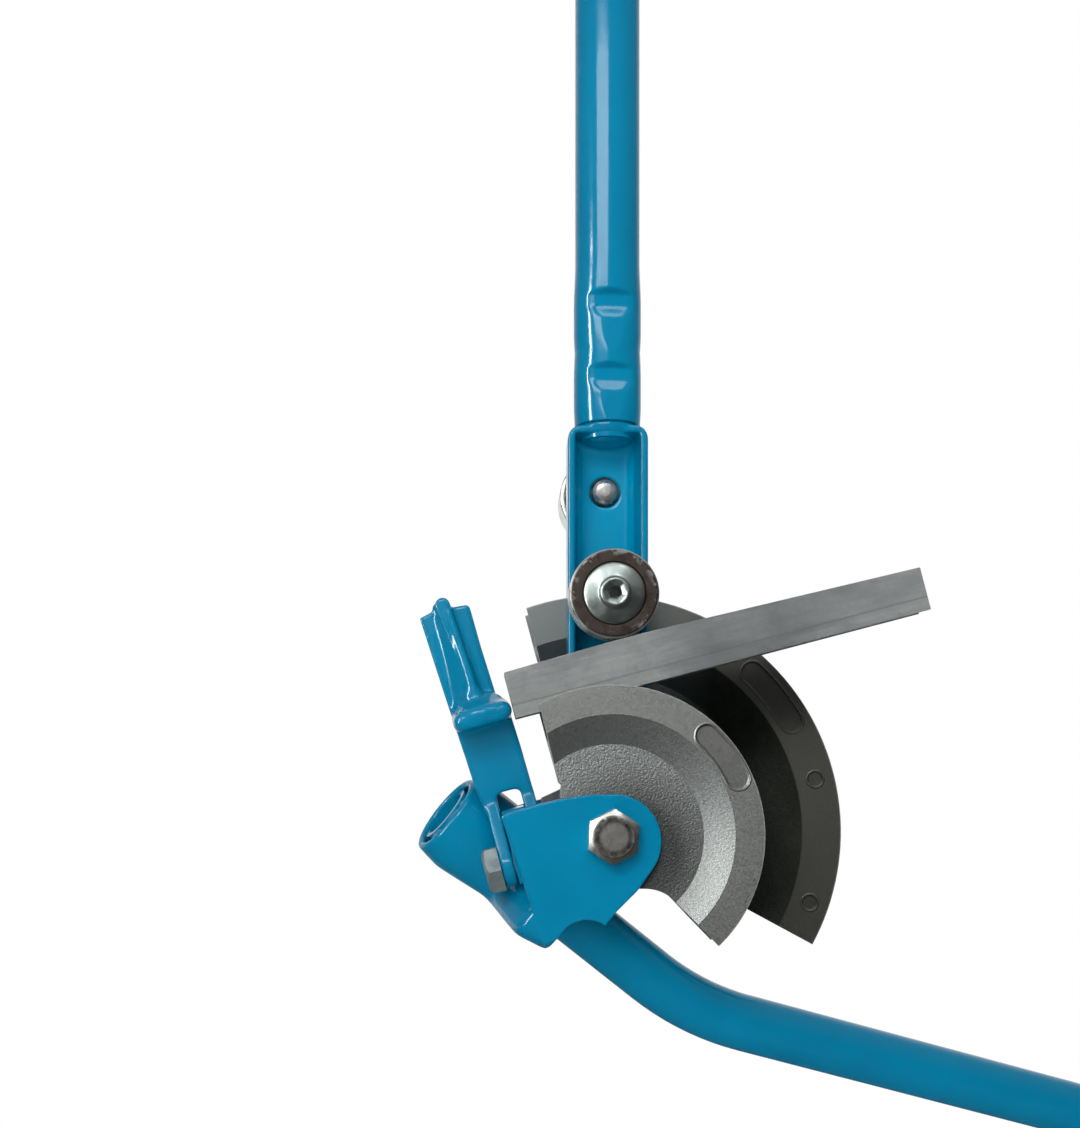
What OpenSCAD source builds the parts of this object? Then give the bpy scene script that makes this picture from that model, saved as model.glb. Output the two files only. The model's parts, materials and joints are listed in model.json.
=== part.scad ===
// Hand tube bender on a bench handle: two cast half-round formers, a long
// lever with two rollers, a straight guide and a swing hook.
// Seen from the front (looking along +Y) +X is right and +Z is up. The frame's
// origin is on the axis of the lower handle, in the middle of its straight grip.

/* [Formers] */
// Outside diameter of the small tube that is bent
small_tube_d = 15; // [14:0.1:15.2]
// Bend radius of the small former, to the middle of the tube
small_bend_r = 49; // [48:0.5:50]
// Bend radius of the large former, to the middle of the tube
large_bend_r = 85; // [84:0.5:86]
// Outside diameter of the large tube that is bent
large_tube_d = 22; // [20:0.1:22.4]
// Angle of the straight lead-in above the horizontal, in degrees
lead_tilt = 14.7; // [12:0.1:17]
// Thickness of the small former across its rims
small_former_w = 22; // [21:0.5:23]
// Thickness of the large former across its rims
large_former_w = 30; // [29:0.5:31]
// Height of the small former's rims above the middle of its tube
small_rim_h = 8.8; // [8:0.1:9.5]
// Height of the large former's rims above the middle of its tube
large_rim_h = 12.8; // [12:0.1:13.5]
// Where the small former stops below the horizontal, in degrees
small_end_a = 46; // [40:1:50]
// Where the large former stops below the horizontal, in degrees
large_end_a = 28.4; // [24:0.2:32]

/* [Lever] */
// Height of the lever's top end above the pivot
lever_top = 520; // [480:5:600]
// Outside diameter of the lever tube
lever_tube_d = 26; // [25:0.5:27]
// Wall of the lever tube
lever_wall = 2; // [1.5:0.1:2.5]
// Width of the pressed channel at the foot of the lever
channel_w = 32; // [31:0.5:34]
// Depth of the channel from its open front to its back
channel_d = 20; // [19:0.5:20]
// Sheet thickness of the channel
channel_t = 3; // [2.5:0.1:3.5]
// Height of the channel's top end above the pivot
channel_top = 162.7; // [161:0.1:165]

/* [Rollers] */
// Diameter of the near roller
near_roller_d = 34.6; // [30:0.1:36]
// Width of the near roller
near_roller_w = 15; // [12:0.5:15]
// Height of the far roller's axle above the pivot
far_axle_h = 139.2; // [138:0.1:141]
// Diameter of the far roller
far_roller_d = 36; // [34:0.1:38]
// Width of the far roller
far_roller_w = 21; // [18:0.5:22]

/* [Guide] */
// Height of the guide bar's top above the middle of the small tube
guide_rise = 23.1; // [20:0.1:26]
// Width of the guide bar, between the former's rims
guide_w = 16.4; // [15.6:0.1:16.4]
// Length of the guide bar
guide_l = 163.8; // [150:0.2:170]
// Distance of the guide's left end from the pivot, along the tube
guide_start = 24.2; // [22:0.1:24.6]

/* [Handle] */
// Outside diameter of the lower handle tube
handle_d = 24; // [23:0.5:24]
// Wall of the lower handle tube
handle_wall = 2; // [1.5:0.1:2.5]
// Length of the handle's upper arm, mouth to the corner of its bend
handle_arm_a = 134.3; // [134.3:0.1:138]
// Length of the handle's lower arm, from the corner of its bend to its end
handle_arm_b = 186.2; // [160:0.2:240]
// Fall of the upper arm, in degrees
handle_fall_a = 38.3; // [37.8:0.1:38.8]
// Fall of the lower arm, in degrees
handle_fall_b = 15.9; // [14:0.1:18]
// Turn of the handle away from the front, in degrees
handle_yaw = 11.5; // [11:0.1:12]
// Radius of the handle's bend, to the middle of the tube
handle_bend_r = 120; // [100:5:150]

/* [Bracket] */
// Sheet thickness of the two bracket pressings
sheet = 3; // [2.5:0.1:3]
// Diameter of the pivot bolt
pivot_d = 12; // [12:0.1:12]
// Diameter of the hook's bolt
hook_bolt_d = 10; // [9.8:0.1:10]

/* [Hidden] */

$fn = 96;
eps = 0.01;
seat_gap = 0.3;          // between curved faces that only sit close to each other
run_fit = 0.05;          // radial clearance of a turning fit

bolt_af = 18.6;          // pivot bolt's head and nut across flats
bolt_head_h = 7.5;
nut_h = 8.6;

// Depths, from the middle of the lever: -Y is the near side
bush_half = channel_d / 2 + 0.8;
near_rim_back = -(bush_half + 0.7);
near_mid = near_rim_back - small_former_w / 2;
near_rim_front = near_rim_back - small_former_w;
near_dish = 5.5;
near_web_front = near_rim_front + near_dish;
near_web_back = near_rim_back - 5;
far_rim_front = bush_half + 0.7;
far_mid = far_rim_front + large_former_w / 2;
far_rim_back = far_rim_front + large_former_w;
far_dish = 8;
far_web_front = far_rim_front + far_dish;
far_web_back = far_rim_back - 5.5;
cheek_front = near_web_front - sheet;
cheek_rear = far_web_back + sheet;

small_rim_r = small_bend_r + small_rim_h;
large_rim_r = large_bend_r + large_rim_h;
small_groove_r = small_tube_d / 2 + 0.1;
large_groove_r = large_tube_d / 2 + 0.15;
hub_r = 20.4;
lead_left_small = 14.4;
lead_left_large = 7.5;

// The near roller runs on the guide, which sets the height of its axle above the pivot
near_x = 0.8;            // the near axle stands a little right of the channel's middle
guide_low = small_bend_r + 4;
guide_crest = small_bend_r + guide_rise;
near_v = guide_crest + 0.3 + near_roller_d / 2;
near_axle_h = (near_v + near_x * sin(lead_tilt)) / cos(lead_tilt);
near_u = near_axle_h * sin(lead_tilt) + near_x * cos(lead_tilt);

near_axle_r = 5;
far_axle_r = 6;
bush_r = 9;
boss_r = 12.5;

// The handle's corner, from the pivot
corner = [38.05, 24.4, -75.4];
// The part of the lower arm that is held, measured from the corner
grip_at = 112;
grip_turn = handle_fall_a - handle_fall_b;
grip_dir = [
    cos(handle_fall_b) * cos(handle_yaw),
    cos(handle_fall_b) * sin(handle_yaw),
    -sin(handle_fall_b)
];
pivot = -(corner + grip_at * grip_dir);

// Bracket frame: along and square to the upper arm as seen from the front
mouth = [-65.3, 3.4, 7.8];
arm_slope = 38.8;

// Hook frame: u runs along the workpiece, v stands square to it
hook_axis_v = -1.8;
hook_axis_y = -18.4;
arm_y0 = -14.3;
arm_y1 = -9.2;

module at_pivot() {
    translate(pivot) children();
}

// u along the lead-in, v away from the pivot, both from the pivot
module along_lead() {
    rotate([0, -lead_tilt, 0]) children();
}

// Turns a drawing in the X-Z plane into a plate between two depths
module plate_y(y0, y1) {
    translate([0, y1, 0]) rotate([90, 0, 0]) linear_extrude(y1 - y0) children();
}

// A round bar or hole along Y between two depths
module bar_y(r, y0, y1) {
    translate([0, y0, 0]) rotate([-90, 0, 0]) cylinder(r = r, h = y1 - y0);
}

// A round bar with chamfered ends along Y
module roller_y(r, y0, y1, c0, c1) {
    rotate([-90, 0, 0]) rotate_extrude() polygon([
        [0, y0], [r - c0, y0], [r, y0 + c0], [r, y1 - c1], [r - c1, y1], [0, y1]
    ]);
}

// A hexagon across its flats
module hex(af) {
    circle(d = af / cos(30), $fn = 6);
}

// Bolt head or nut with its corners turned off at 30 degrees
module hex_block(af, h, chamfer_top, chamfer_bottom) {
    face_r = af * 0.41;
    wide = af * 0.65;
    drop = (wide - face_r) * tan(30);
    intersection() {
        linear_extrude(h) hex(af);
        rotate_extrude() polygon([
            [0, 0], [chamfer_bottom ? face_r : wide, 0], [wide, chamfer_bottom ? drop : 0],
            [wide, chamfer_top ? h - drop : h], [chamfer_top ? face_r : wide, h], [0, h]
        ]);
    }
}

// Outline of a former in the X-Z plane: sector, lead-in and hub
module former_outline(rim, end_a, lead_left, base) {
    far = rim * 2;
    circle(r = base);
    intersection() {
        circle(r = rim, $fn = 180);
        union() {
            polygon([
                [0, 0], [far * cos(-end_a), far * sin(-end_a)], [far, far * 0.3], [far, far],
                [far * cos(90 + lead_tilt), far * sin(90 + lead_tilt)]
            ]);
            rotate(lead_tilt) polygon([
                [1, far], [-lead_left, far], [-lead_left, base + 4.6], [-lead_left + 0.8, base + 3.4],
                [-lead_left - 0.8, base - 1], [-lead_left - 0.8, 3], [1, 0]
            ]);
        }
    }
    former_heel(end_a, base, 16);
}

// Round inner corner between the hub and the former's lower end
module former_heel(end_a, base, r) {
    level = base - 0.15;
    start = level * cos(end_a) / sin(end_a) - r * tan(end_a / 2);
    arc = [for (i = [0:10]) [start + r * sin(end_a * i / 10), -level - r + r * cos(end_a * i / 10)]];
    polygon(concat([[0, 0], [0, -level]], arc, [[arc[10][0] + 1.5, arc[10][1] + 1]]));
}

// Section of the groove: half-round bed with a wider slot for the guide above
module groove_section(bend_r, groove_r, slot_w, rim, depth) {
    translate([bend_r, depth]) circle(r = groove_r);
    translate([bend_r, depth - groove_r]) square([rim - bend_r + 2, groove_r * 2]);
    translate([bend_r + groove_r * 0.5, depth - slot_w / 2])
        square([rim - bend_r - groove_r * 0.5 + 2, slot_w]);
}

// The groove round the arc; through the lead-in it runs straight and a little freer
module groove(bend_r, groove_r, slot_w, rim, mid) {
    rotate([90, 0, 0]) rotate([0, 0, -70]) rotate_extrude(angle = 160 + lead_tilt, $fn = 180)
        groove_section(bend_r, groove_r, slot_w, rim, -mid);
    along_lead() translate([0.5, 0, 0]) rotate([0, -90, 0]) linear_extrude(40)
        groove_section(bend_r, groove_r + 0.15, slot_w + 0.3, rim, mid);
}

// A dish turned into one face of a former
module dish(r_out, r_in, y_face, y_web) {
    s = y_web > y_face ? 1 : -1;
    rotate([-90, 0, 0]) rotate_extrude($fn = 144) polygon([
        [0, y_face - s], [r_out, y_face - s], [r_out, y_face], [r_in, y_web], [0, y_web]
    ]);
}

// A shallow round-ended label pocket along the ring
module pill(r, a0, a1, w, y_face, depth) {
    steps = 9;
    side = w / 2;
    outer = [for (i = [0:steps]) let (a = a0 + (a1 - a0) * i / steps) (r + side) * [cos(a), sin(a)]];
    inner = [for (i = [0:steps]) let (a = a1 + (a0 - a1) * i / steps) (r - side) * [cos(a), sin(a)]];
    top = [for (i = [1:steps - 1]) let (t = a1 + 180 * i / steps)
        r * [cos(a1), sin(a1)] + side * [cos(t), sin(t)]];
    bottom = [for (i = [1:steps - 1]) let (t = a0 + 180 + 180 * i / steps)
        r * [cos(a0), sin(a0)] + side * [cos(t), sin(t)]];
    rotate([90, 0, 0]) translate([0, 0, -y_face - depth]) linear_extrude(depth + 1)
        polygon(concat(outer, top, inner, bottom));
}

small_hub_pin = [-13.2 * cos(50), 0, -13.2 * sin(50)];

module former_15() {
    color([0.52, 0.53, 0.51]) at_pivot() difference() {
        union() {
            difference() {
                plate_y(near_rim_front, near_rim_back)
                    former_outline(small_rim_r, small_end_a, lead_left_small, hub_r);
                dish(small_bend_r - 2.5, small_bend_r - 13.7, near_rim_front, near_web_front);
                dish(small_bend_r - 5, small_bend_r - 15, near_rim_back, near_web_back);
            }
            bar_y(hub_r - 0.4, near_web_back - 1, -bush_half);
        }
        groove(small_bend_r, small_groove_r, guide_w + 0.4, small_rim_r, near_mid);
        bar_y(pivot_d / 2 + 0.1, near_rim_front - 1, 0);
        translate(small_hub_pin) bar_y(3.02, near_web_front - 1, near_web_front + 9);
        pill(small_bend_r + 3.3, 25, 47, 9, near_rim_front, 0.8);
    }
}

module former_22() {
    label_r = large_bend_r + 4.8;
    color([0.33, 0.34, 0.33]) at_pivot() difference() {
        union() {
            difference() {
                plate_y(far_rim_front, far_rim_back)
                    former_outline(large_rim_r, large_end_a, lead_left_large, hub_r);
                dish(large_bend_r - 3.5, large_bend_r - 19, far_rim_front, far_web_front);
                dish(large_bend_r - 5, large_bend_r - 17, far_rim_back, far_web_back);
            }
            bar_y(hub_r - 0.4, bush_half, far_web_front + 1);
            // Toe of the casting beside the hub
            plate_y(far_rim_front, far_rim_front + 9)
                polygon([[-25.8, 13.9], [-17.2, 17.9], [-10, 12], [-10, 2], [-24.6, 6]]);
        }
        groove(large_bend_r, large_groove_r, large_groove_r * 2 + 2.4, large_rim_r, far_mid);
        bar_y(pivot_d / 2 + 0.1, 0, far_rim_back + 1);
        translate(small_hub_pin) bar_y(3.02, far_web_back - 9, far_web_back + 1);
        pill(label_r, 30.5, 47, 9.4, far_rim_front, 0.8);
        for (a = [14, -19])
            rotate([0, -a, 0]) translate([label_r, 0, 0]) bar_y(3.3, far_rim_front - 1, far_rim_front + 0.4);
    }
}

// Short pins that stop the formers turning on the bolt
module former_pins() {
    color([0.45, 0.45, 0.45]) at_pivot() translate(small_hub_pin) {
        bar_y(3, near_web_front - 2, near_web_front + 8.5);
        bar_y(3, far_web_back - 8.5, far_web_back + 2);
    }
}

module pivot_bolt() {
    color([0.45, 0.43, 0.4]) at_pivot() {
        translate([0, cheek_front, 0]) rotate([90, 0, 0]) rotate([0, 0, 27]) hex_block(bolt_af, bolt_head_h, true, false);
        bar_y(pivot_d / 2, cheek_front, cheek_rear + 2.5 + nut_h + 5.9);
    }
}

module pivot_washer() {
    color([0.6, 0.62, 0.62]) at_pivot() difference() {
        bar_y(12, cheek_rear, cheek_rear + 2.5);
        bar_y(pivot_d / 2 + 0.5, cheek_rear - 1, cheek_rear + 3);
    }
}

module pivot_nut() {
    color([0.6, 0.62, 0.62]) at_pivot() translate([0, cheek_rear + 2.5, 0]) rotate([-90, 0, 0]) difference() {
        union() {
            hex_block(bolt_af, nut_h, true, true);
            cylinder(r = 8.4, h = nut_h + 3.4);
        }
        translate([0, 0, -1]) cylinder(r = pivot_d / 2 + 0.02, h = nut_h + 6);
    }
}

module pivot_bush() {
    color([0.62, 0.5, 0.25]) at_pivot() difference() {
        bar_y(bush_r, -bush_half + 0.1, bush_half - 0.1);
        bar_y(pivot_d / 2 + run_fit, -bush_half - 1, bush_half + 1);
    }
}

module lever_boss() {
    color([0.0, 0.45, 0.6]) at_pivot() difference() {
        bar_y(boss_r, -channel_d / 2, channel_d / 2 + 0.4);
        bar_y(bush_r + run_fit, -channel_d, channel_d);
    }
}

channel_ro = 5;          // outer radius of the channel's back corners

// Section of the channel as if it were solid
module channel_outer() {
    half = channel_w / 2;
    back = channel_d / 2;
    translate([-half, -back]) square([channel_w, channel_d - channel_ro]);
    translate([-half + channel_ro, -back]) square([channel_w - 2 * channel_ro, channel_d]);
    for (s = [-1, 1]) translate([s * (half - channel_ro), back - channel_ro]) circle(r = channel_ro);
}

// Section of the pressed channel, open to the front
module channel_section() {
    half = channel_w / 2;
    back = channel_d / 2;
    ro = channel_ro;
    ri = ro - channel_t;
    difference() {
        channel_outer();
        translate([-half + channel_t, -back - 1]) square([channel_w - 2 * channel_t, channel_d - ro + 1]);
        translate([-half + ro, -back - 1]) square([channel_w - 2 * ro, channel_d + 1 - channel_t]);
        for (s = [-1, 1]) translate([s * (half - ro), back - ro]) circle(r = ri);
    }
}

// Front outline of the channel: round end at the pivot, round top corners
module channel_outline() {
    half = channel_w / 2;
    circle(r = half);
    translate([-half, 0]) square([channel_w, channel_top - 5.5]);
    translate([-half + 5.5, 0]) square([channel_w - 11, channel_top]);
    for (s = [-1, 1]) translate([s * (half - 5.5), channel_top - 5.5]) circle(r = 5.5);
}

module lever_channel() {
    color([0.0, 0.5, 0.67]) at_pivot() difference() {
        intersection() {
            union() {
                translate([0, 0, -channel_w]) linear_extrude(channel_top + channel_w) channel_section();
                translate([0, 0, channel_top - channel_t]) linear_extrude(channel_t) channel_outer();
            }
            plate_y(-channel_d, channel_d) channel_outline();
        }
        bar_y(boss_r, -channel_d, channel_d);
        translate([lever_mid_x, 0, channel_top - channel_t - 1]) cylinder(r = spigot_r, h = channel_t + 3);
        translate([near_x, 0, near_axle_h]) bar_y(6.5, 0, channel_d);
        translate([0, 0, far_axle_h]) bar_y(far_axle_r, 0, channel_d);
    }
}

crimp_top = [channel_top + 53.3, channel_top + 24.1];
spigot_foot = channel_top - 4.7;
spigot_head = crimp_top[0] + 5.7;
spigot_r = lever_tube_d / 2 - lever_wall - 0.2;
lever_mid_x = 0.4;

// The pressed-in dents: steep at the top, running out downwards
module crimps(grow) {
    front = -lever_tube_d / 2;
    for (z = crimp_top)
        rotate([90, 0, 90]) linear_extrude(lever_tube_d, center = true) polygon([
            [front - 1, z + grow], [front + grow, z + grow], [front + 2.7 + grow, z - 1.5 + grow * 0.6],
            [front + 2.5 + grow, z - 8], [front + grow, z - 24 - grow], [front - 1, z - 25 - grow]
        ]);
}

module lever_tube() {
    color([0.0, 0.5, 0.67]) at_pivot() translate([lever_mid_x, 0, 0]) difference() {
        translate([0, 0, channel_top + 1.2])
            cylinder(d = lever_tube_d, h = lever_top - channel_top - 1.2);
        difference() {
            translate([0, 0, channel_top - 1])
                cylinder(r = lever_tube_d / 2 - lever_wall, h = lever_top - channel_top + 2);
            crimps(lever_wall);
        }
        crimps(0);
    }
}

module lever_spigot() {
    color([0.0, 0.47, 0.63]) at_pivot() translate([lever_mid_x, 0, 0]) difference() {
        intersection() {
            translate([0, 0, spigot_foot]) cylinder(r = spigot_r, h = spigot_head - spigot_foot);
            translate([-20, -20, 0]) cube([40, 20 + channel_d / 2 - channel_t, 400]);
        }
        crimps(lever_wall + seat_gap);
    }
}

module lever_cap() {
    inner = lever_tube_d / 2 - lever_wall;
    color([0.08, 0.08, 0.08]) at_pivot() translate([lever_mid_x, 0, lever_top]) {
        translate([0, 0, -12]) cylinder(r = inner - 0.1, h = 12);
        rotate_extrude() polygon([
            [0, 0], [lever_tube_d / 2, 0], [lever_tube_d / 2, 1.6], [lever_tube_d / 2 - 1, 2.6], [0, 2.8]
        ]);
    }
}

near_y0 = near_mid - near_roller_w / 2;
near_y1 = near_mid + near_roller_w / 2;

module at_near() {
    at_pivot() translate([near_x, 0, near_axle_h]) children();
}

// Boss welded into the channel, threaded for the near roller's screw
module near_boss() {
    color([0.0, 0.5, 0.67]) at_near() difference() {
        union() {
            bar_y(8, near_y1 + 0.4, channel_d / 2 - channel_t);
            bar_y(6.5, channel_d / 2 - channel_t, channel_d / 2 - 0.2);
        }
        bar_y(near_axle_r + 0.02, near_y1 - 1, channel_d);
    }
}

module near_roller() {
    color([0.3, 0.27, 0.24]) at_near() difference() {
        roller_y(near_roller_d / 2, near_y0, near_y1, 1, 2.2);
        bar_y(7.5, near_y0 - 1, near_y1 + 1);
        bar_y(12.2, near_y0 - 1, near_y0 + 1.2);
    }
}

module near_bush() {
    color([0.62, 0.5, 0.25]) at_near() difference() {
        bar_y(7.5, near_y0 + 1.2, near_y1);
        bar_y(near_axle_r + run_fit, near_y0, near_y1 + 1);
    }
}

// Flanged socket screw that carries the near roller
module near_screw() {
    face = near_y0 + 1.0;
    color([0.6, 0.62, 0.62]) at_near() {
        difference() {
            rotate([-90, 0, 0]) rotate_extrude() polygon([
                [0, face - 5.4], [5.6, face - 5.4], [6.2, face - 4.9], [6.2, face - 3.6],
                [10.6, face - 1.8], [11.4, face - 1], [11.4, face], [0, face]
            ]);
            translate([0, face - 3, 0]) rotate([90, 0, 0]) linear_extrude(10) hex(6);
            translate([0, face - 5.5, 0]) rotate([-90, 0, 0]) cylinder(r1 = 4.1, r2 = 3.2, h = 0.9);
        }
        bar_y(near_axle_r, face, channel_d / 2 - 1);
    }
}

far_y0 = far_mid - far_roller_w / 2;
far_y1 = far_mid + far_roller_w / 2;

module at_far() {
    at_pivot() translate([0, 0, far_axle_h]) children();
}

// Axle peened over on the inside of the channel
module far_axle() {
    web_in = channel_d / 2 - channel_t;
    color([0.5, 0.5, 0.47]) at_far() {
        bar_y(far_axle_r - 0.02, web_in, far_y1 + 0.4);
        rotate([-90, 0, 0]) rotate_extrude() polygon([
            [0, web_in - 1.7], [2, web_in - 1.6], [3.6, web_in - 1.2], [4.8, web_in - 0.6],
            [5.3, web_in], [0, web_in]
        ]);
        rotate([-90, 0, 0]) rotate_extrude() polygon([
            [0, far_y1 + 0.4], [10, far_y1 + 0.4], [10, far_y1 + 2.4], [9, far_y1 + 3.4], [0, far_y1 + 3.4]
        ]);
    }
}

module far_spacer() {
    color([0.6, 0.62, 0.62]) at_far() difference() {
        bar_y(9.5, channel_d / 2, far_y0 - 0.4);
        bar_y(far_axle_r + 0.08, 0, far_y0 + 1);
    }
}

module far_roller() {
    color([0.5, 0.5, 0.48]) at_far() difference() {
        roller_y(far_roller_d / 2, far_y0, far_y1, 1, 1);
        bar_y(far_axle_r + run_fit, far_y0 - 1, far_y1 + 1);
    }
}

module guide_15() {
    color([0.46, 0.49, 0.5]) at_pivot() along_lead() difference() {
        plate_y(near_mid - guide_w / 2, near_mid + guide_w / 2) polygon([
            [-guide_start, guide_low], [guide_l - guide_start, guide_low],
            [guide_l - guide_start, guide_crest - 2.5], [near_u + 8, guide_crest],
            [near_u - 6, guide_crest], [-guide_start, guide_crest - 1.1]
        ]);
        translate([-guide_start - 1, near_mid, small_bend_r]) rotate([0, 90, 0])
            cylinder(r = small_groove_r, h = guide_l + 2);
    }
}

module in_handle() {
    translate(corner) rotate([0, 0, handle_yaw]) rotate([0, handle_fall_a, 0]) children();
}

// A straight hollow length along X
module pipe_x(x0, x1) {
    translate([x0, 0, 0]) rotate([0, 90, 0]) difference() {
        cylinder(d = handle_d, h = x1 - x0);
        translate([0, 0, -1]) cylinder(d = handle_d - 2 * handle_wall, h = x1 - x0 + 2);
    }
}

// The cranked tube: upper arm, bend and lower arm
module handle_tube() {
    run = handle_bend_r * tan(grip_turn / 2);
    lap = 0.2;           // degrees that the bend reaches into each straight length
    color([0.0, 0.5, 0.67]) at_pivot() in_handle() {
        pipe_x(-handle_arm_a, -run);
        translate([-run, 0, handle_bend_r]) rotate([90, 90, 0]) rotate([0, 0, -lap])
            rotate_extrude(angle = grip_turn + 2 * lap) translate([handle_bend_r, 0]) difference() {
                circle(d = handle_d - 0.04);
                circle(d = handle_d - 2 * handle_wall + 0.04);
            }
        rotate([0, -grip_turn, 0]) pipe_x(run, handle_arm_b);
    }
}

// t runs along the upper arm from its mouth, n stands square to it
module in_bracket() {
    translate([mouth[0], 0, mouth[2]]) rotate([0, arm_slope, 0]) children();
}

// Depth of the tube's middle at a length t from the mouth
function tube_y(t) = mouth[1] + t * cos(arm_slope) * tan(handle_yaw);

// A thin slice of the sleeve, set back and turned to face the front; lift draws its crest up
module ring_slice(t, r, back, lift, turn) {
    for (k = [0, 1])
        translate([t, tube_y(t) + back + 0.45 * k * lift, k * lift]) rotate([0, 0, turn])
            scale([1, 0.92, 1]) rotate([0, 90, 0]) cylinder(r = r - 0.35 * k * lift, h = 0.4, $fn = 36);
}

// A thin slice nearly as wide as the two cheeks, with round lower corners
module wide_slice(t, low, high, grow) {
    r = 5 + grow;
    y0 = cheek_front + sheet - grow + 0.3;
    y1 = cheek_rear - sheet + grow - 0.3;
    translate([t, 0, 0]) for (y = [y0 + r, y1 - r])
        translate([0, y, low + sheet - grow + r]) rotate([0, 90, 0]) cylinder(r = r, h = 0.4, $fn = 36);
    translate([t, y0, high]) cube([0.4, y1 - y0, 0.4]);
}

// The slices the sleeve runs through: lip, bell, waist, and the trough between the cheeks
module lip_slice(grow, over) {
    ring_slice(-over, 14.3 + grow, 0, 0.4, 15);
}

module bell_slice(grow) {
    ring_slice(10.5, 16.3 + grow, 1, 2.8, 12);
}

module waist_slice(grow) {
    ring_slice(34, 13.9 + grow, 0.4, 6.8, 6);
}

// The pressed sleeve, hollow or solid
module sleeve(grow, over) {
    hull() {
        lip_slice(grow, over);
        bell_slice(grow);
    }
    hull() {
        bell_slice(grow);
        waist_slice(grow);
    }
    hull() {
        waist_slice(grow);
        wide_slice(50.5, -18.4, -7, grow);
    }
    hull() {
        wide_slice(50.5, -18.4, -7, grow);
        wide_slice(63.5 + over, -15.6, -5, grow);
    }
}

// Outline of a cheek in the X-Z plane
module cheek_outline() {
    intersection() {
        union() {
            translate([0.6, -2]) circle(r = 18.2);
            polygon([
                [-43.3, 8], [-30, 12], [-19, 14.5], [-10, 15.8], [-4.5, 16.1], [3, 16],
                [14, -2], [16.2, -11.4], [9.7, -20.8], [1.3, -29.2], [-3, -34.4],
                [-20.5, -38.4], [-26.7, -42.4], [-28.6, -35.3], [-33.7, -20.8], [-37.3, -8.5]
            ]);
        }
        polygon([[-60, 40], [60, 40], [60, -60], [-60, -60]]);
    }
}

module cheek(y0, y1) {
    difference() {
        plate_y(y0, y1) difference() {
            cheek_outline();
            translate([-9.7, -44]) circle(r = 12);
        }
        bar_y(pivot_d / 2 + 0.2, y0 - 1, y1 + 1);
    }
}

// The tube leaves the sleeve's closed part through an opening in its crest
module sleeve_shell() {
    difference() {
        in_bracket() difference() {
            sleeve(sheet, 0);
            sleeve(0, 0.5);
        }
        in_handle() rotate([0, -90, 0]) cylinder(r = handle_d / 2 + seat_gap, h = handle_arm_a - 36);
    }
}

// Everything on the near side of the seam
module near_half() {
    reach = handle_arm_a * 1.2;
    in_bracket() translate([-20, 0, -reach / 2]) rotate([0, 0, handle_yaw - 2.6])
        translate([0, mouth[1] - 1.5, 0]) mirror([0, 1, 0]) cube([reach, reach, reach]);
}

module bracket_front() {
    color([0.0, 0.5, 0.67]) at_pivot() {
        intersection() {
            sleeve_shell();
            near_half();
        }
        difference() {
            cheek(cheek_front, near_web_front);
            translate(small_hub_pin) bar_y(3.02, near_web_front - 2, near_web_front + 1);
        }
    }
}

module bracket_rear() {
    color([0.0, 0.47, 0.63]) at_pivot() {
        difference() {
            sleeve_shell();
            near_half();
        }
        difference() {
            cheek(far_web_back, cheek_rear);
            translate(small_hub_pin) bar_y(3.02, far_web_back - 1, far_web_back + 2);
        }
    }
}

hook_l = -44.3;
hook_r = -24.3;
fork_l = -39.2;
fork_r = -29.4;
fork_top = 26.8;
ear_r = 7.7;
pad_v = small_bend_r + 9;         // height of the near pad over the small tube
hook_top = large_bend_r + 17;     // height of the plate's top edge

module hook_lug() {
    color([0.0, 0.47, 0.63]) at_pivot() difference() {
        along_lead() difference() {
            translate([fork_l + 0.4, hook_axis_y - 7, -9])
                cube([fork_r - fork_l - 0.8, 24, 28.6]);
            translate([fork_l - 1, hook_axis_y, hook_axis_v]) rotate([0, 90, 0])
                cylinder(d = hook_bolt_d + 2 * run_fit, h = 12);
        }
        in_bracket() sleeve(sheet, 0);
    }
}

// Flat part of the hook: arm, fork and handle plate, in the u-v plane
module hook_plate() {
    r = 2.2;
    difference() {
        polygon([
            [hook_l, hook_axis_v], [hook_l, 8], [-43.7, 12], [-45.2, 21], [-46.5, 31], [-47.1, 43],
            [-48.4, pad_v + 4], [-50.6, hook_top - 0.6], [-43.8, hook_top + 0.9],
            [-31.2, hook_top - 0.1], [-30.3, hook_top - 1.2], [-30, hook_top - 18],
            [-29, pad_v + 5.5], [-25.4, pad_v - 3], [-24.8, 43], [hook_r, 21], [hook_r, hook_axis_v]
        ]);
        translate([fork_l, hook_axis_v - 1]) square([fork_r - fork_l, fork_top - r - hook_axis_v + 1]);
        translate([fork_l + r, fork_top - 2 * r]) square([fork_r - fork_l - 2 * r, 2 * r]);
        for (u = [fork_l + r, fork_r - r]) translate([u, fork_top - r]) circle(r = r);
    }
}

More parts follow.
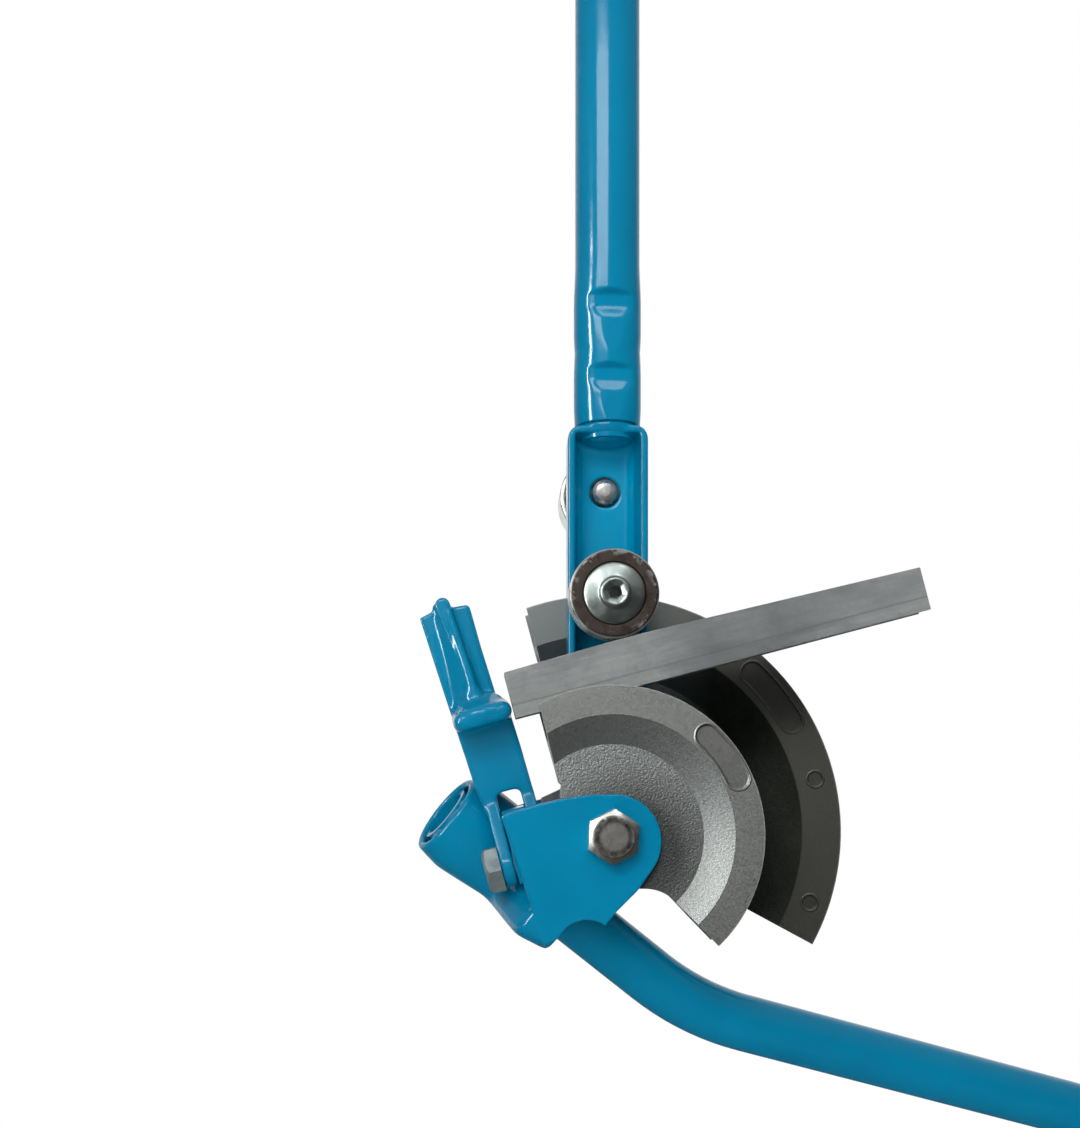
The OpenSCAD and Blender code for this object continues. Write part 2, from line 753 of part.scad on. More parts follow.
module hook() {
    color([0.0, 0.5, 0.67]) at_pivot() along_lead() difference() {
        union() {
            plate_y(arm_y0, arm_y1) hook_plate();
            // Eyes of the fork
            for (u = [[hook_l, fork_l], [fork_r, hook_r]])
                translate([u[0], hook_axis_y, hook_axis_v]) rotate([0, 90, 0])
                    cylinder(r = ear_r, h = u[1] - u[0]);
            // The legs slope from the eyes up to the arm
            for (u = [[hook_l, fork_l], [fork_r, hook_r]])
                translate([u[0], 0, 0]) rotate([90, 0, 90]) linear_extrude(u[1] - u[0]) polygon([
                    [hook_axis_y - ear_r * 0.97, hook_axis_v + 2], [arm_y0 + 0.5, 25], [arm_y1 - 0.5, 25],
                    [arm_y1 - 0.5, hook_axis_v + 3], [hook_axis_y, hook_axis_v]
                ]);
            // Near pad over the small tube
            hook_pad();
            // Rib down the front
            hook_rib();
            // Far pad over the large tube
            translate([-49.5, arm_y1 - 1, large_bend_r + large_tube_d / 2 + 0.4]) cube([18.5, far_mid - arm_y1 + 8, 5]);
        }
        translate([hook_l - 1, hook_axis_y, hook_axis_v]) rotate([0, 90, 0])
            cylinder(d = hook_bolt_d + 0.04, h = 30);
        translate([-60, near_mid, small_bend_r]) rotate([0, 90, 0])
            cylinder(d = small_tube_d + 0.4, h = 50);
    }
}

// Pad that hooks over the small tube: a rounded shoe with a low front lip
module hook_pad() {
    hull() {
        translate([-43.8, near_mid - 4.6, pad_v - 1.4]) sphere(r = 4.2, $fn = 32);
        translate([-29, near_mid - 4.6, pad_v - 0.9]) sphere(r = 4.2, $fn = 32);
        translate([-45.6, arm_y0 - 1, pad_v + 1]) sphere(r = 3, $fn = 24);
        translate([-28, arm_y0 - 1, pad_v + 1.4]) sphere(r = 3.2, $fn = 24);
        translate([-48, arm_y0 - 0.5, pad_v - 4]) cube([22.6, 2, 6]);
    }
}

// Rib from the pad to the top: a long slope on its left, a steep side on its right
module hook_rib() {
    hull() {
        translate([-36.6, arm_y0 - 7.4, pad_v + 2]) cylinder(r = 1.5, h = 3, $fn = 24);
        translate([-39, arm_y0 - 3.6, hook_top - 4]) cylinder(r = 1.5, h = 2.4, $fn = 24);
        translate([-46.4, arm_y0, pad_v + 2]) cube([12.6, 1, 1]);
        translate([-45.6, arm_y0, hook_top - 3]) cube([8.2, 1, 1]);
    }
    hull() {
        translate([-40.5, arm_y0 + 1.6, hook_top + 1.6]) rotate([90, 0, 0]) cylinder(r = 3, h = 6.2, $fn = 32);
        translate([-38.8, arm_y0 + 1.6, hook_top - 24]) rotate([90, 0, 0]) cylinder(r = 1.6, h = 6.8, $fn = 32);
    }
}

module hook_bolt() {
    color([0.5, 0.5, 0.49]) at_pivot() along_lead() translate([hook_l, hook_axis_y, hook_axis_v]) {
        rotate([0, -90, 0]) rotate([0, 0, 30]) hex_block(17, 6.4, true, false);
        rotate([0, 90, 0]) cylinder(d = hook_bolt_d, h = hook_r - hook_l - 0.6);
    }
}

handle_tube();
bracket_front();
bracket_rear();
hook_lug();
hook();
hook_bolt();
former_15();
former_22();
former_pins();
pivot_bolt();
pivot_washer();
pivot_nut();
pivot_bush();
lever_boss();
lever_channel();
lever_spigot();
lever_tube();
lever_cap();
near_boss();
near_roller();
near_bush();
near_screw();
far_axle();
far_spacer();
far_roller();
guide_15();
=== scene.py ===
import json
import math

import bmesh
import bpy
import numpy as np
from mathutils import Matrix, Vector


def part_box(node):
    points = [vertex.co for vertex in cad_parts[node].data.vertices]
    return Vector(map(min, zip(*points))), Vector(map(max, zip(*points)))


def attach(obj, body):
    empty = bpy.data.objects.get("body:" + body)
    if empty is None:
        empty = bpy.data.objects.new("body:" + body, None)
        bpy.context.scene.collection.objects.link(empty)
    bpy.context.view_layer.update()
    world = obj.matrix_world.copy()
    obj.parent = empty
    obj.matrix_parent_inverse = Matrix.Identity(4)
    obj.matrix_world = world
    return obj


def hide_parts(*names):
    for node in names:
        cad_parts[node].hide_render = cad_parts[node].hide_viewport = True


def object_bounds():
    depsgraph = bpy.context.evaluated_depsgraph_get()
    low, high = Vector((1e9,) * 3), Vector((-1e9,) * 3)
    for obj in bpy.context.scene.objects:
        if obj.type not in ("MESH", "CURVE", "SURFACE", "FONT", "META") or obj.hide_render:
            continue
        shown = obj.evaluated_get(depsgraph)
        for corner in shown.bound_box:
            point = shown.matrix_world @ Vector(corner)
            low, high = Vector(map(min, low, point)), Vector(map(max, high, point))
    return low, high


# Tube bender: paint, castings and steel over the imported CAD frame.
# Seen from the front, looking along +Y, +X is right and +Z is up. The scene is in metres; the
# tool's sizes are written in millimetres and turned into metres by MM where they are used.
# Those of the floor, the room and the lamps are in metres.

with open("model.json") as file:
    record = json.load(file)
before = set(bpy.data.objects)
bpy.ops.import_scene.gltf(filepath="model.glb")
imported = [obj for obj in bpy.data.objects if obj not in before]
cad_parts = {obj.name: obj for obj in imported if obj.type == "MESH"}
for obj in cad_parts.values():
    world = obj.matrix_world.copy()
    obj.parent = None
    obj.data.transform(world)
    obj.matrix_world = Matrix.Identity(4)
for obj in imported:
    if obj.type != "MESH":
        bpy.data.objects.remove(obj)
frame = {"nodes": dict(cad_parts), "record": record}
cad_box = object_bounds()

MM = 0.001
WELD_GAP = 0.002 * MM               # points nearer than this are one point
LEAD_TILT = math.radians(14.7)      # slope of the formers' straight lead-in
ARM_SLOPE = math.radians(38.8)      # slope of the handle's upper arm and of its sleeve


def middle(node):
    """Middle of a CAD node's box."""
    low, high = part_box(node)
    return (low + high) / 2


# On the pivot bolt's axis, half way through the lever; the frame's origin is on the handle
PIVOT = Vector((middle("pivot_washer").x, middle("lever_channel").y, middle("pivot_washer").z))


def from_pivot(x, y, z):
    """A point given in millimetres from the pivot."""
    return PIVOT + Vector((x, y, z)) * MM


def on_lead(u, y, v):
    """A point in millimetres: u along the formers' lead-in, v away from the pivot."""
    c, s = math.cos(LEAD_TILT), math.sin(LEAD_TILT)
    return from_pivot(u * c - v * s, y, u * s + v * c)


# ---- Node helpers ---------------------------------------------------------------------------

MIX_FACTOR, MIX_FIRST, MIX_SECOND, MIX_RESULT = 0, 6, 7, 2     # colour sockets of a mix node


class Graph:
    """Adds and links nodes in one node tree; a value may be a number, a colour or a socket."""

    def __init__(self, tree):
        self.nodes = tree.nodes
        self.links = tree.links

    def put(self, node, name, value):
        """Gives an input, found by its name or its number, a value."""
        socket = node.inputs[name] if isinstance(name, int) else self.socket(node, name)
        if isinstance(value, bpy.types.NodeSocket):
            self.links.new(value, socket)
        else:
            socket.default_value = value

    @staticmethod
    def socket(node, name):
        wanted = name.replace("_", " ").lower()
        for socket in node.inputs:
            if socket.name.lower() == wanted and socket.enabled:
                return socket
        raise KeyError(f"{node.name} has no input {name}")

    def math(self, operation, a, b=None, clamp=False):
        node = self.nodes.new("ShaderNodeMath")
        node.operation = operation
        node.use_clamp = clamp
        self.put(node, 0, a)
        if b is not None:
            self.put(node, 1, b)
        return node.outputs[0]

    def times(self, a, b, clamp=False):
        return self.math("MULTIPLY", a, b, clamp)

    def plus(self, a, b, clamp=False):
        return self.math("ADD", a, b, clamp)

    def minus(self, a, b):
        return self.math("SUBTRACT", a, b)

    def hypotenuse(self, a, b):
        return self.math("SQRT", self.plus(self.times(a, a), self.times(b, b)))

    def vector(self, operation, *values):
        node = self.nodes.new("ShaderNodeVectorMath")
        node.operation = operation
        for index, value in enumerate(values):
            self.put(node, index, value)
        return node.outputs["Value" if operation == "LENGTH" else "Vector"]

    def axes(self, vector):
        """The X, Y and Z of a vector."""
        node = self.nodes.new("ShaderNodeSeparateXYZ")
        self.put(node, 0, vector)
        return node.outputs

    def ramp(self, value, low, high, out_low=0.0, out_high=1.0):
        """Runs evenly from out_low to out_high while value goes from low to high."""
        node = self.nodes.new("ShaderNodeMapRange")
        for name, number in (("Value", value), ("From Min", low), ("From Max", high),
                             ("To Min", out_low), ("To Max", out_high)):
            self.put(node, name, number)
        return node.outputs["Result"]

    def mix(self, factor, first, second):
        """A colour between first and second."""
        node = self.nodes.new("ShaderNodeMix")
        node.data_type = "RGBA"
        self.put(node, MIX_FACTOR, factor)
        self.put(node, MIX_FIRST, first)
        self.put(node, MIX_SECOND, second)
        return node.outputs[MIX_RESULT]

    def place(self, scale=(1, 1, 1), turn=(0, 0, 0)):
        """Coordinates on the part itself, in metres, turned and then stretched."""
        vector = self.nodes.new("ShaderNodeTexCoord").outputs["Object"]
        for name, value in (("Rotation", turn), ("Scale", scale)):
            mapping = self.nodes.new("ShaderNodeMapping")
            self.put(mapping, name, value)
            self.put(mapping, "Vector", vector)
            vector = mapping.outputs["Vector"]
        return vector

    def noise(self, vector, scale, detail=3.0, roughness=0.5, distortion=0.0, output="Fac"):
        node = self.nodes.new("ShaderNodeTexNoise")
        for name, value in (("Vector", vector), ("Scale", scale), ("Detail", detail),
                            ("Roughness", roughness), ("Distortion", distortion)):
            self.put(node, name, value)
        return node.outputs[output]

    def cells(self, vector, scale, feature="F1"):
        node = self.nodes.new("ShaderNodeTexVoronoi")
        node.feature = feature
        self.put(node, "Vector", vector)
        self.put(node, "Scale", scale)
        return node.outputs["Distance"]

    def relief(self, height, depth, under=None):
        """The normal of a relief of a depth in millimetres, which may lie on another one."""
        node = self.nodes.new("ShaderNodeBump")
        self.put(node, "Height", height)
        self.put(node, "Distance", depth * MM)
        if under is not None:
            self.put(node, "Normal", under)
        return node.outputs["Normal"]


SOCKET_KINDS = {"number": "NodeSocketFloat", "colour": "NodeSocketColor",
                "vector": "NodeSocketVector"}
COATING = {"Colour": "colour", "Roughness": "number", "Height": "number"}


def new_effect(name, inputs, outputs):
    """A node group; returns it with its graph, what it is given and where its results go."""
    tree = bpy.data.node_groups.new(name, "ShaderNodeTree")
    for in_out, labels in (("INPUT", inputs), ("OUTPUT", outputs)):
        for label, kind in labels.items():
            tree.interface.new_socket(label, in_out=in_out, socket_type=SOCKET_KINDS[kind])
    given = tree.nodes.new("NodeGroupInput").outputs
    end = tree.nodes.new("NodeGroupOutput")
    return tree, Graph(tree), given, end


def use_effect(graph, tree, **values):
    """Puts a node group into a graph; returns its results by name."""
    node = graph.nodes.new("ShaderNodeGroup")
    node.node_tree = tree
    for name, value in values.items():
        graph.put(node, name, value)
    return node.outputs


# ---- Shared effects -------------------------------------------------------------------------

def make_paint_skin():
    """Sprayed gloss paint: faint long waves, fine orange peel, thinner and lighter in places."""
    tree, g, given, end = new_effect(
        "paint_skin",
        {"Paint": "colour", "Thin Paint": "colour", "Peel": "number", "Gloss": "number"}, COATING)
    where = g.place()
    drift = g.noise(where, 22.0, 4.0, 0.6)
    g.put(end, "Colour", g.mix(g.ramp(drift, 0.35, 0.7), given["Paint"], given["Thin Paint"]))
    waves = g.noise(where, 55.0, 2.0)
    peel = g.times(g.times(g.noise(where, 420.0, 2.0), 0.12), given["Peel"])
    g.put(end, "Height", g.plus(waves, peel))
    spread = g.ramp(g.noise(where, 140.0), 0.3, 0.7, 0.0, 0.06)
    g.put(end, "Roughness", g.plus(given["Gloss"], spread))
    return tree


def make_cast_skin():
    """Sand-cast face: close pebbles, scattered small pits and slow cloudy tone."""
    tree, g, given, end = new_effect(
        "cast_skin",
        {"Metal": "colour", "Dust": "colour", "Pebbles": "number", "Pits": "number",
         "Grain Size": "number"}, COATING)
    where = g.place()
    fineness = g.math("DIVIDE", 1050.0, given["Grain Size"])
    stray = g.noise(where, 300.0, 2.0, output="Color")
    strayed = g.vector("MULTIPLY_ADD", stray, (1.2 * MM,) * 3, where)
    pebble = g.cells(strayed, fineness, "SMOOTH_F1")
    grain = g.noise(where, fineness, 4.0, 0.62)
    bumps = g.times(g.minus(grain, g.times(pebble, 0.70)), given["Pebbles"])
    pit = g.ramp(g.cells(where, g.times(fineness, 0.33)), 0.10, 0.20, 1.0, 0.0)
    sunk = g.times(pit, given["Pits"])
    g.put(end, "Height", g.minus(bumps, sunk))
    cloud = g.ramp(g.noise(where, 38.0, 5.0, 0.6), 0.3, 0.7)
    tone = g.mix(cloud, given["Metal"], given["Dust"])
    # Darker between the pebbles and near black in the pits: painted shade in the hollows
    valley = g.times(g.ramp(pebble, 0.25, 0.75, 0.0, 0.35), given["Pebbles"], clamp=True)
    shaded = g.mix(valley, tone, g.vector("MULTIPLY", tone, (0.45,) * 3))
    g.put(end, "Colour", g.mix(g.times(sunk, 0.55, clamp=True), shaded, (0.05, 0.05, 0.05, 1)))
    g.put(end, "Roughness", g.ramp(grain, 0.3, 0.7, 0.42, 0.62))
    return tree


def make_worn_metal():
    """Bare or plated metal: cloudy stains, specks and fine scratches as close as Marks says."""
    tree, g, given, end = new_effect(
        "worn_metal",
        {"Metal": "colour", "Stain": "colour", "Stains": "number", "Rough": "number",
         "Marks": "vector"}, COATING)
    where = g.place()
    marks = g.noise(g.vector("MULTIPLY", where, given["Marks"]), 1.0, 8.0, 0.7)
    cloud = g.noise(where, 160.0, 5.0, 0.65, 0.4)
    spots = g.noise(where, 700.0, 4.0, 0.6)
    clouded = g.times(g.ramp(cloud, 0.42, 0.66), given["Stains"])
    specked = g.times(g.ramp(spots, 0.58, 0.7), given["Stains"])
    stained = g.plus(clouded, g.times(specked, 0.5), clamp=True)
    g.put(end, "Colour", g.mix(stained, given["Metal"], given["Stain"]))
    wear = g.plus(g.ramp(marks, 0.3, 0.7, -0.06, 0.12), g.times(clouded, 0.25))
    g.put(end, "Roughness", g.plus(given["Rough"], wear))
    g.put(end, "Height", g.plus(marks, g.times(spots, 0.3)))
    return tree


def make_ring_mask():
    """One inside a ring about an axis along Y through Centre, in metres, zero outside it."""
    tree, g, given, end = new_effect(
        "ring_mask",
        {"Centre": "vector", "Inner": "number", "Outer": "number", "Edge": "number"},
        {"Mask": "number"})
    away = g.vector("SUBTRACT", g.place(), given["Centre"])
    radius = g.vector("LENGTH", g.vector("MULTIPLY", away, (1, 0, 1)))
    past_inner = g.math("DIVIDE", g.minus(radius, given["Inner"]), given["Edge"], clamp=True)
    before_outer = g.math("DIVIDE", g.minus(given["Outer"], radius), given["Edge"], clamp=True)
    g.put(end, "Mask", g.times(past_inner, before_outer))
    return tree


def make_pocket():
    """A round-ended place bent along a ring: Inside is one within it, Rim one along its edge."""
    tree, g, given, end = new_effect(
        "pocket",
        {"Centre": "vector", "Radius": "number", "Angle": "number", "Half Length": "number",
         "Half Width": "number"},
        {"Inside": "number", "Rim": "number"})
    x, _, z = g.axes(g.vector("SUBTRACT", g.place(), given["Centre"]))
    turned_by = g.minus(g.math("ARCTAN2", z, x), given["Angle"])
    along = g.math("ABSOLUTE", g.times(turned_by, given["Radius"]))
    past_end = g.math("MAXIMUM", g.minus(along, given["Half Length"]), 0.0)
    across = g.minus(g.hypotenuse(x, z), given["Radius"])
    outside = g.minus(g.hypotenuse(across, past_end), given["Half Width"])
    g.put(end, "Inside", g.ramp(outside, 0.2 * MM, -0.4 * MM))
    g.put(end, "Rim", g.ramp(g.math("ABSOLUTE", outside), 0.1 * MM, 0.7 * MM, 1.0, 0.0))
    return tree


paint_skin = make_paint_skin()
cast_skin = make_cast_skin()
worn_metal = make_worn_metal()
ring_mask = make_ring_mask()
pocket = make_pocket()

FROM_AXIS = -10.0       # inner radius of a mask that covers its own middle
TO_ALL = 500.0          # outer radius of a mask that covers all the rest


def ring(g, centre, inner, outer, edge):
    """One between two radii about an axis along Y, fading over edge; all in millimetres."""
    return use_effect(g, ring_mask, Centre=centre, Inner=inner * MM, Outer=outer * MM,
                      Edge=edge * MM)["Mask"]


def pocket_masks(g, pockets):
    """How far a point lies within one of the pockets, and how near to the edge of one."""
    sunk, lip = 0.0, 0.0
    for radius, angle, half_length, half_width in pockets:
        place = use_effect(g, pocket, Centre=PIVOT, Radius=radius * MM, Angle=math.radians(angle),
                           Half_Length=half_length * MM, Half_Width=half_width * MM)
        sunk = g.math("MAXIMUM", place["Inside"], sunk)
        lip = g.math("MAXIMUM", place["Rim"], lip)
    return sunk, lip


# ---- Materials ------------------------------------------------------------------------------
# Colours are linear. The depth of a relief is in millimetres.

def new_material(name, metallic, specular=0.5):
    material = bpy.data.materials.new(name)
    material.use_nodes = True
    graph = Graph(material.node_tree)
    shader = graph.nodes["Principled BSDF"]
    shader.inputs["Metallic"].default_value = metallic
    shader.inputs["Specular IOR Level"].default_value = specular
    return material, graph, shader


def cover(g, shader, tone, roughness, normal):
    """Links what a material ends in."""
    for name, value in (("Base Color", tone), ("Roughness", roughness), ("Normal", normal)):
        g.put(shader, name, value)


BLUE = (0.0, 0.196, 0.360, 1)
BLUE_THIN = (0.0, 0.222, 0.398, 1)
# Painted light inside the channel
BLUE_LIT = (0.0, 0.31, 0.53, 1)
# Painted shadow on the formers' webs round the hub
HUB_SHADOW_TONE = (0.05, 0.055, 0.05, 1)
SHADE = (0.035, 0.033, 0.030, 1)
# Painted light on the formers' lead-in end
PAINTED_LIGHT_IRON = (0.235, 0.255, 0.250, 1)
WORN_IRON = (0.55, 0.56, 0.54, 1)
# Painted shade and painted highlight of the formers' pockets
POCKET_SHADE = (0.05, 0.05, 0.045, 1)
POCKET_HIGHLIGHT = (0.42, 0.43, 0.41, 1)


def paint(name, colour, thin, peel, gloss, depth, inside=None):
    """Gloss paint; inside gives depths from the pivot, start, full and end, in millimetres,
    between which its colour turns lighter: painted light where the channel's walls and neck shade
    its inside."""
    material, g, shader = new_material(name, 0.0, 0.30)
    skin = use_effect(g, paint_skin, Paint=colour, Thin_Paint=thin, Peel=peel, Gloss=gloss)
    tone = skin["Colour"]
    # Lighter colour deep inside: painted light where the channel's walls and neck shade it
    if inside:
        start, full, end = (PIVOT.y + y * MM for y in inside)
        back = g.axes(g.place())["Y"]
        tone = g.mix(g.times(g.ramp(back, start, full), g.ramp(back, end, full)), tone, BLUE_LIT)
    cover(g, shader, tone, skin["Roughness"], g.relief(skin["Height"], depth))
    return material


def metal(name, colour, stain, stains, rough, marks, depth, metallic=1.0):
    """Bare or plated metal of one kind all over."""
    material, g, shader = new_material(name, metallic)
    skin = use_effect(g, worn_metal, Metal=colour, Stain=stain, Stains=stains, Rough=rough,
                      Marks=marks)
    cover(g, shader, skin["Colour"], skin["Roughness"], g.relief(skin["Height"], depth))
    return material


def cast_former(name, rim_tone, web_tone, dust_tone, slope_r, web_r, rim_r, pebble, painted_lit_end,
                pockets):
    """Smooth rim outside slope_r and sand-cast web inside web_r, with the slope between them.

    The lit end gives how much lighter the lead-in end, left of the pivot, is painted: painted
    light, for the end that is lit while the rest lies in shade.
    rim_r is the radius of the outer edge, lighter with wear. Each pocket is its radius, angle in
    degrees, half length and half width. Radii and lengths are in millimetres."""
    material, g, shader = new_material(name, 0.9, 0.35)
    rim = ring(g, PIVOT, slope_r, TO_ALL, 0.5)
    web = ring(g, PIVOT, FROM_AXIS, web_r, 1.2)
    coarse = g.minus(1.0, rim)
    web_dust = [0.75 * w + 0.25 * d for w, d in zip(web_tone, dust_tone)]
    smooth = use_effect(g, cast_skin, Metal=rim_tone, Dust=dust_tone, Pebbles=0.16, Pits=0.07,
                        Grain_Size=0.9)
    rough = use_effect(g, cast_skin, Metal=web_tone, Dust=web_dust, Pebbles=1.0, Pits=0.04,
                       Grain_Size=0.85)
    tone = g.mix(coarse, smooth["Colour"], rough["Colour"])
    # Painted light: the lead-in end, left of the pivot, turns lighter because that end is lit while
    # the rest lies in shade
    lit_from, lit_to = PIVOT.x + 45 * MM, PIVOT.x + 15 * MM
    painted_light = g.ramp(g.axes(g.place())["X"], lit_from, lit_to, 0.0, painted_lit_end)
    tone = g.mix(painted_light, tone, PAINTED_LIGHT_IRON)
    # Painted shadow: the web and the slope darker round the hub, beside the cheek
    hub_shadow = ring(g, from_pivot(5, 0, -7), FROM_AXIS, 36.0, 16.0)
    tone = g.mix(g.times(g.times(hub_shadow, coarse), 0.72), tone, HUB_SHADOW_TONE)
    rim_and_wear = ring(g, PIVOT, rim_r - 0.6, TO_ALL, 0.4)
    tone = g.mix(g.times(rim_and_wear, 0.5), tone, WORN_IRON)
    sunk, lip = pocket_masks(g, pockets)
    # Painted shade inside the pockets and marks, and a painted highlight along their edges
    tone = g.mix(g.times(sunk, 0.30), tone, POCKET_SHADE)
    tone = g.mix(g.times(lip, 0.30), tone, POCKET_HIGHLIGHT)
    grain = g.plus(g.times(coarse, pebble * 0.35), g.times(web, pebble * 0.65))
    height = g.plus(g.times(rough["Height"], grain), g.times(smooth["Height"], rim))
    pressed = g.relief(g.plus(g.minus(1.0, sunk), lip), 0.5)
    cover(g, shader, tone, smooth["Roughness"], g.relief(height, 0.25, pressed))
    return material


def drawn_bar(name):
    """Cold-drawn bar along the lead-in: grey with streaks and one faint line along its middle."""
    material, g, shader = new_material(name, 0.6)
    skin = use_effect(g, worn_metal, Metal=(0.245, 0.262, 0.260, 1), Stain=(0.150, 0.156, 0.152, 1),
                      Stains=0.55, Rough=0.46, Marks=(60, 60, 60))
    turn = (0, LEAD_TILT, 0)
    streak = g.noise(g.place((16, 40, 420), turn), 1.0, 6.0, 0.65)
    cloud = g.noise(g.place((38, 60, 110), turn), 1.0, 3.0, 0.6, 0.6)
    tone = g.mix(g.ramp(streak, 0.35, 0.68, 0.0, 0.5), skin["Colour"], (0.36, 0.375, 0.37, 1))
    tone = g.mix(g.ramp(cloud, 0.40, 0.62, 0.0, 0.45), tone, (0.125, 0.140, 0.145, 1))
    x, _, z = g.axes(g.place())
    clean = g.ramp(x, PIVOT.x + 70 * MM, PIVOT.x + 110 * MM, 0.0, 0.30)
    tone = g.mix(clean, tone, (0.45, 0.47, 0.47, 1))
    handled = ring(g, on_lead(68, 0, 66), FROM_AXIS, 36.0, 24.0)
    tone = g.mix(g.times(handled, 0.42), tone, (0.10, 0.11, 0.11, 1))
    c, s = math.cos(LEAD_TILT), math.sin(LEAD_TILT)
    line_height = PIVOT.z * c - PIVOT.x * s + 58.1 * MM
    height = g.plus(g.times(x, -s), g.times(z, c))
    off_line = g.math("ABSOLUTE", g.minus(height, line_height))
    tone = g.mix(g.ramp(off_line, 0.1 * MM, 0.5 * MM, 0.45, 0.0), tone, (0.10, 0.105, 0.10, 1))
    cover(g, shader, tone, skin["Roughness"], g.relief(g.plus(skin["Height"], streak), 0.08))
    return material


def turned(name, axis, face, face_stain, rim_colour, rim_r, edge, rough, shadow=0.0):
    """A face with a rim of another colour outside rim_r, and chips of wear near it; shadow darkens
    the ring just inside it, painted shade. On the bolt and the rollers the rim is lighter, a
    painted highlight as well as wear; on the axle it is darker, painted shade at the pin's edge.
    """
    material, g, shader = new_material(name, 1.0)
    skin = use_effect(g, worn_metal, Metal=face, Stain=face_stain, Stains=0.9, Rough=rough,
                      Marks=(170, 170, 170))
    scuffs = g.ramp(g.noise(g.place(), 260.0, 5.0, 0.7), 0.40, 0.56)
    fringe = ring(g, axis, rim_r - 2.4, TO_ALL, 2.2)
    chips = g.times(fringe, g.ramp(scuffs, 0.85, 1.0, 0.0, 0.45))
    # Rim outside rim_r and chips of wear: the rim is a painted highlight on the bolt and the
    # rollers, painted shade on the axle
    rim_and_wear = g.math("MAXIMUM", ring(g, axis, rim_r, TO_ALL, edge), chips)
    ragged = g.ramp(g.noise(g.place(), 330.0, 4.0, 0.6), 0.35, 0.6, 0.55, 1.0)
    shaded = g.times(g.times(ring(g, axis, rim_r - 3.4, rim_r, 1.4), ragged), shadow)
    tone = g.mix(rim_and_wear, g.mix(shaded, skin["Colour"], SHADE), rim_colour)
    roughness = g.minus(skin["Roughness"], g.times(rim_and_wear, rough * 0.45))
    cover(g, shader, tone, roughness, g.relief(skin["Height"], 0.10))
    return material


gloss_blue = paint("gloss_blue", BLUE, BLUE_THIN, peel=0.5, gloss=0.10, depth=0.12)
channel_blue = paint("channel_blue", BLUE, BLUE_THIN, peel=0.6, gloss=0.12, depth=0.14,
                     inside=(-6.0, 6.5, 8.6))
cast_blue = paint("cast_blue", BLUE, BLUE_THIN, peel=1.4, gloss=0.13, depth=0.18)
black_plastic = paint("black_plastic", (0.012, 0.012, 0.012, 1), (0.02, 0.02, 0.02, 1),
                      peel=1.0, gloss=0.4, depth=0.1)
small_cast = cast_former(
    "small_cast", (0.270, 0.278, 0.266, 1), (0.285, 0.302, 0.294, 1), (0.308, 0.317, 0.302, 1),
    slope_r=46.5, web_r=35.3, rim_r=57.8, pebble=1.0, painted_lit_end=0.0,
    pockets=[(52.3, 36.0, 10.0, 4.5)])
# Painted shade: the large former's dark tones stand for the shade it lies in behind the small one;
# its lead-in end is painted lighter
shaded_large_cast = cast_former(
    "shaded_large_cast", (0.135, 0.137, 0.120, 1), (0.034, 0.039, 0.031, 1), (0.132, 0.134, 0.118, 1),
    slope_r=81.5, web_r=66.0, rim_r=97.8, pebble=0.7, painted_lit_end=0.85,
    pockets=[(89.8, 38.75, 12.9, 4.7), (89.8, 14.0, 0.0, 3.3), (89.8, -19.0, 0.0, 3.3)])
guide_steel = drawn_bar("guide_steel")
zinc = metal("zinc_plate", (0.37, 0.42, 0.40, 1), (0.23, 0.28, 0.26, 1),
             stains=0.7, rough=0.31, marks=(90, 90, 90), depth=0.04)
dull_zinc = metal("dull_zinc", (0.20, 0.245, 0.255, 1), (0.13, 0.165, 0.175, 1),
                  stains=0.8, rough=0.50, marks=(90, 90, 90), depth=0.05, metallic=0.35)
pin_steel = metal("pin_steel", (0.70, 0.70, 0.66, 1), (0.30, 0.30, 0.28, 1),
                  stains=0.6, rough=0.24, marks=(260, 260, 260), depth=0.12)
bronze = metal("bronze_bush", (0.60, 0.42, 0.17, 1), (0.30, 0.20, 0.08, 1),
               stains=0.5, rough=0.35, marks=(100, 20, 100), depth=0.04)
# Painted highlight on the rims of the bolt and the rollers, painted shade on the axle's rim and in
# the bolt's shadow ring
bolt_steel = turned("bolt_steel", PIVOT, (0.31, 0.30, 0.28, 1), (0.13, 0.12, 0.105, 1),
                    (0.58, 0.58, 0.55, 1), rim_r=8.1, edge=0.3, rough=0.45, shadow=1.0)
axle_steel = turned("axle_steel", middle("far_axle"), (0.72, 0.72, 0.68, 1),
                    (0.34, 0.34, 0.31, 1), (0.10, 0.12, 0.12, 1), rim_r=5.0, edge=0.3, rough=0.30)
near_roller_steel = turned("near_roller_steel", middle("near_roller"), (0.082, 0.066, 0.057, 1),
                           (0.040, 0.030, 0.026, 1), (0.60, 0.61, 0.57, 1), rim_r=16.5,
                           edge=0.4, rough=0.46)
far_roller_steel = turned("far_roller_steel", middle("far_roller"), (0.155, 0.120, 0.100, 1),
                          (0.075, 0.055, 0.048, 1), (0.72, 0.72, 0.68, 1), rim_r=16.0,
                          edge=0.6, rough=0.46)

SLOT_FINISH = {
    "blue": gloss_blue, "blue_cast": cast_blue, "cast": small_cast, "cast_dark": shaded_large_cast,
    "zinc": zinc, "bolt": bolt_steel, "steel": pin_steel, "bronze": bronze,
    "cap": black_plastic, "roller": near_roller_steel, "guide": guide_steel,
}
NODE_FINISH = {"far_roller": far_roller_steel, "far_axle": axle_steel, "hook_bolt": dull_zinc}


